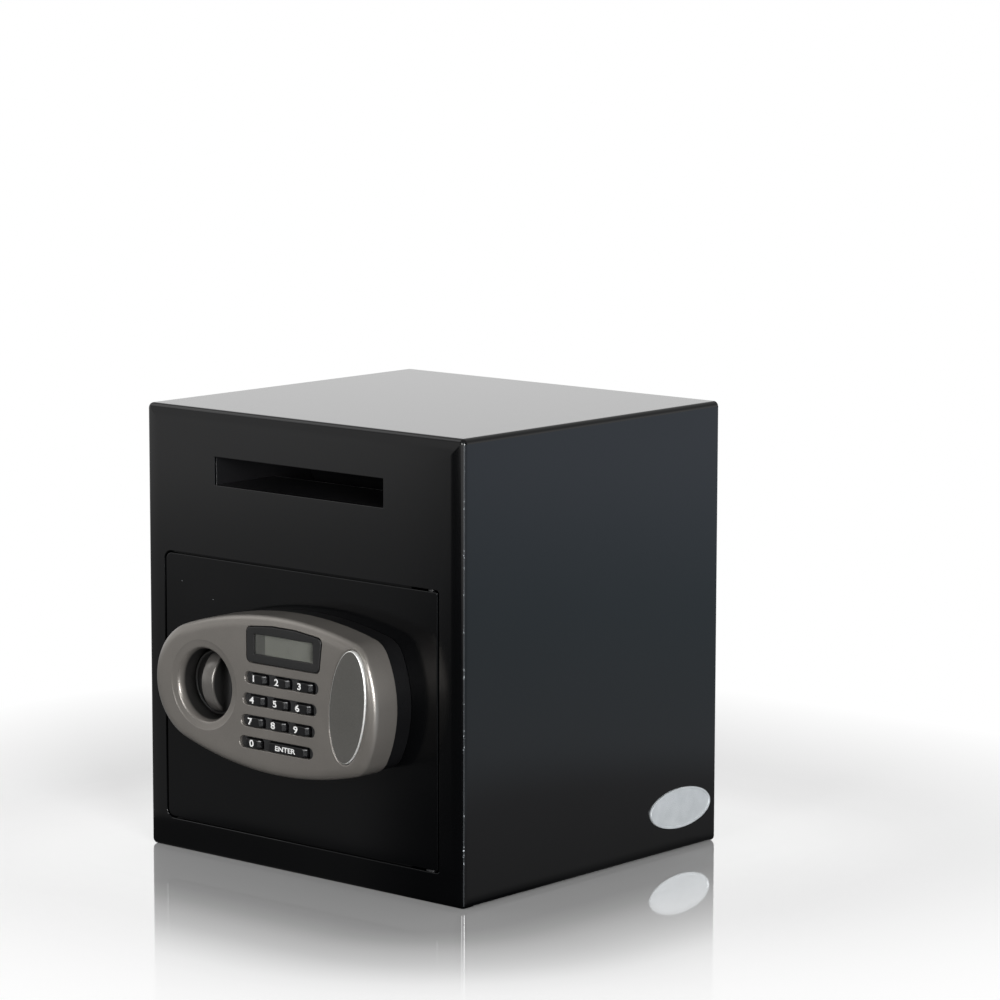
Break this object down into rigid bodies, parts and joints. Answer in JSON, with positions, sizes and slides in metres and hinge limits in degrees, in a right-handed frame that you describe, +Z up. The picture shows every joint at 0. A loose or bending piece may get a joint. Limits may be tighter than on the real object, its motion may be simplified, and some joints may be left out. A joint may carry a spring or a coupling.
{
  "type": "deposit safe",
  "caption": "Front-slot deposit safe: folded steel cabinet with a drop slot over a hinged door that carries a moulded electronic lock with keys, display, key-lock cover and finger knob.",
  "frame": {"origin": "middle of the cabinet's base, on the floor it stands on; the lock panel and the badge stand out past the cabinet, so the origin is the base's middle and not the box's", "axes": "+X to the right seen from the front, -Y the way the front faces, +Z up"},
  "size_m": [0.3014, 0.3143, 0.32],
  "materials": {
    "black_paint": "semi-gloss powder coat",
    "inner_paint": "satin black paint",
    "silver_shell": "satin metallic paint on a moulded shell",
    "black_shell": "fine matt texture",
    "black_gloss": "gloss",
    "clear": "clear",
    "display_grey": "matt display film",
    "rubber": "matt",
    "board": "green solder mask",
    "zinc_steel": "zinc plated",
    "bare_steel": "ground",
    "brass": "turned",
    "plug_metal": "plated",
    "felt": "needle felt",
    "badge": "satin, stippled field",
    "cell_wrap": "printed sleeve, plain",
    "cable_sleeve": "matt",
    "reset_red": "gloss",
    "nylon": "natural nylon"
  },
  "bodies": {
    "cabinet": {"body_wrap": "black_paint", "front_sheet": "black_paint", "back_plate": "black_paint", "door_frame": "black_paint", "strike_jamb": "black_paint", "deposit_chute": "inner_paint", "fishing_guard": "zinc_steel", "floor_felt": "felt", "side_badge": "badge", "hinge_washer": "nylon"},
    "door": {"door_plate": "black_paint", "lock_case": "inner_paint", "case_cover": "inner_paint", "cover_screws": "zinc_steel", "hinge_pins": "bare_steel", "hinge_blocks": "inner_paint", "bolt_guides": "zinc_steel", "bar_studs": "zinc_steel", "solenoid": "black_shell", "plunger_spring": "bare_steel", "lock_cable": "cable_sleeve", "battery_box": "black_shell", "batteries": "cell_wrap", "reset_switch": "black_shell", "lock_screws": "zinc_steel", "lock_base": "black_shell", "lock_housing": "silver_shell", "display_bezel": "black_shell", "display_window": "clear", "display_module": "display_grey", "key_frame": "black_shell", "key_mat": "rubber", "circuit_board": "board", "spindle_bush": "brass", "lock_barrel": "plug_metal", "barrel_nut": "zinc_steel"},
    "knob": {"knob": "silver_shell", "knob_spindle": "bare_steel", "knob_crank": "zinc_steel"},
    "bolt_work": {"bolt_bar": "zinc_steel", "locking_bolts": "bare_steel"},
    "plunger": {"solenoid_plunger": "bare_steel"},
    "override_cover": {"override_cover": "silver_shell"},
    "key_plug": {"key_plug": "plug_metal", "plug_cam": "zinc_steel"},
    "battery_lid": {"battery_lid": "black_shell"},
    "reset_button": {"reset_button": "reset_red"},
    "key_1": {"key_1": "black_gloss"},
    "key_2": {"key_2": "black_gloss"},
    "key_3": {"key_3": "black_gloss"},
    "key_4": {"key_4": "black_gloss"},
    "key_5": {"key_5": "black_gloss"},
    "key_6": {"key_6": "black_gloss"},
    "key_7": {"key_7": "black_gloss"},
    "key_8": {"key_8": "black_gloss"},
    "key_9": {"key_9": "black_gloss"},
    "key_0": {"key_0": "black_gloss"},
    "key_start": {"key_start": "black_gloss"}
  },
  "joints": [
    {"name": "door_swing", "type": "hinge", "parent": "cabinet", "child": "door", "pos_m": [0.1175, -0.132, 0.119], "axis": [0, 0, 1], "range_deg": [0, 95]},
    {"name": "knob_turn", "type": "hinge", "parent": "door", "child": "knob", "pos_m": [-0.05533, -0.1619, 0.134], "axis": [0, -1, 0], "range_deg": [0, 60]},
    {"name": "bolt_throw", "type": "slide", "parent": "door", "child": "bolt_work", "axis": [-1, 0, 0], "range_m": [0, 0.015]},
    {"name": "plunger_pull", "type": "slide", "parent": "door", "child": "plunger", "axis": [0, 0, -1], "range_m": [0, 0.004], "stiffness_N_per_m": 120, "springref_m": -0.003, "deforming": ["plunger_spring"]},
    {"name": "cover_pull", "type": "slide", "parent": "door", "child": "override_cover", "axis": [0, -1, 0], "range_m": [0, 0.012]},
    {"name": "override_turn", "type": "hinge", "parent": "door", "child": "key_plug", "pos_m": [0.0807, -0.15, 0.136], "axis": [0, -1, 0], "range_deg": [0, 90]},
    {"name": "battery_lid_slide", "type": "slide", "parent": "door", "child": "battery_lid", "axis": [-1, 0, 0], "range_m": [0, 0.01]},
    {"name": "reset_press", "type": "slide", "parent": "door", "child": "reset_button", "axis": [0, -1, 0], "range_m": [0, 0.0015], "stiffness_N_per_m": 300, "springref_m": -0.0005},
    {"name": "key_1_press", "type": "slide", "parent": "door", "child": "key_1", "axis": [0, 1, 0], "range_m": [0, 0.0012], "stiffness_N_per_m": 400, "springref_m": -0.0004},
    {"name": "key_2_press", "type": "slide", "parent": "door", "child": "key_2", "axis": [0, 1, 0], "range_m": [0, 0.0012], "stiffness_N_per_m": 400, "springref_m": -0.0004},
    {"name": "key_3_press", "type": "slide", "parent": "door", "child": "key_3", "axis": [0, 1, 0], "range_m": [0, 0.0012], "stiffness_N_per_m": 400, "springref_m": -0.0004},
    {"name": "key_4_press", "type": "slide", "parent": "door", "child": "key_4", "axis": [0, 1, 0], "range_m": [0, 0.0012], "stiffness_N_per_m": 400, "springref_m": -0.0004},
    {"name": "key_5_press", "type": "slide", "parent": "door", "child": "key_5", "axis": [0, 1, 0], "range_m": [0, 0.0012], "stiffness_N_per_m": 400, "springref_m": -0.0004},
    {"name": "key_6_press", "type": "slide", "parent": "door", "child": "key_6", "axis": [0, 1, 0], "range_m": [0, 0.0012], "stiffness_N_per_m": 400, "springref_m": -0.0004},
    {"name": "key_7_press", "type": "slide", "parent": "door", "child": "key_7", "axis": [0, 1, 0], "range_m": [0, 0.0012], "stiffness_N_per_m": 400, "springref_m": -0.0004},
    {"name": "key_8_press", "type": "slide", "parent": "door", "child": "key_8", "axis": [0, 1, 0], "range_m": [0, 0.0012], "stiffness_N_per_m": 400, "springref_m": -0.0004},
    {"name": "key_9_press", "type": "slide", "parent": "door", "child": "key_9", "axis": [0, 1, 0], "range_m": [0, 0.0012], "stiffness_N_per_m": 400, "springref_m": -0.0004},
    {"name": "key_0_press", "type": "slide", "parent": "door", "child": "key_0", "axis": [0, 1, 0], "range_m": [0, 0.0012], "stiffness_N_per_m": 400, "springref_m": -0.0004},
    {"name": "key_start_press", "type": "slide", "parent": "door", "child": "key_start", "axis": [0, 1, 0], "range_m": [0, 0.0012], "stiffness_N_per_m": 400, "springref_m": -0.0004}
  ],
  "couplings": [
    {"joint": "knob_turn", "follows": "bolt_throw", "rad_per_m": 69.813}
  ]
}
